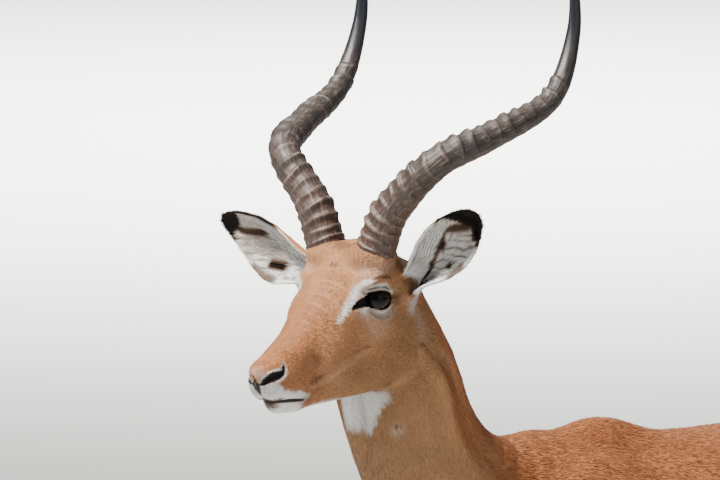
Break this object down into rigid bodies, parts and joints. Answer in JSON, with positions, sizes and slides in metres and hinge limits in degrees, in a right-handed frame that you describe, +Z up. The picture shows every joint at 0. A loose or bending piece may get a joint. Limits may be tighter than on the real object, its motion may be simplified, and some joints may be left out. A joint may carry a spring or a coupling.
{
  "type": "impala antelope",
  "caption": "Adult male impala standing on all four hooves, head turned a little to its left, lyre-shaped ringed horns, ears spread, tail hanging.",
  "frame": {"origin": "on the floor below the middle of the bounding box", "axes": "+Z up, -X the way the body faces, -Y the animal's left side"},
  "size_m": [1.2634, 0.381, 1.4654],
  "materials": {
    "saddle_coat": "short glossy red-brown hair",
    "flank_coat": "short fawn hair",
    "white_coat": "white hair",
    "ear_coat": "short tan and white hair, black at the tip",
    "horn": "dark grey-brown keratin, satin and worn on the ridges",
    "hoof": "black keratin, satin",
    "eye": "wet, nearly black"
  },
  "bodies": {
    "root": {"barrel": "saddle_coat", "chest": "saddle_coat", "ear_left": "ear_coat", "ear_right": "ear_coat", "eye_left": "eye", "eye_right": "eye", "fore_cannon_left": "flank_coat", "fore_cannon_right": "flank_coat", "fore_foot_left": "flank_coat", "fore_foot_right": "flank_coat", "fore_hoof_left_inner": "hoof", "fore_hoof_left_outer": "hoof", "fore_hoof_right_inner": "hoof", "fore_hoof_right_outer": "hoof", "forearm_left": "flank_coat", "forearm_right": "flank_coat", "head": "saddle_coat", "hind_cannon_left": "flank_coat", "hind_cannon_right": "flank_coat", "hind_foot_left": "flank_coat", "hind_foot_right": "flank_coat", "hind_hoof_left_inner": "hoof", "hind_hoof_left_outer": "hoof", "hind_hoof_right_inner": "hoof", "hind_hoof_right_outer": "hoof", "horn_left": "horn", "horn_right": "horn", "lower_jaw": "saddle_coat", "muzzle": "saddle_coat", "neck": "saddle_coat", "rump": "saddle_coat", "shank_left": "flank_coat", "shank_right": "flank_coat", "tail": "white_coat", "thigh_left": "flank_coat", "thigh_right": "flank_coat"}
  },
  "joints": []
}
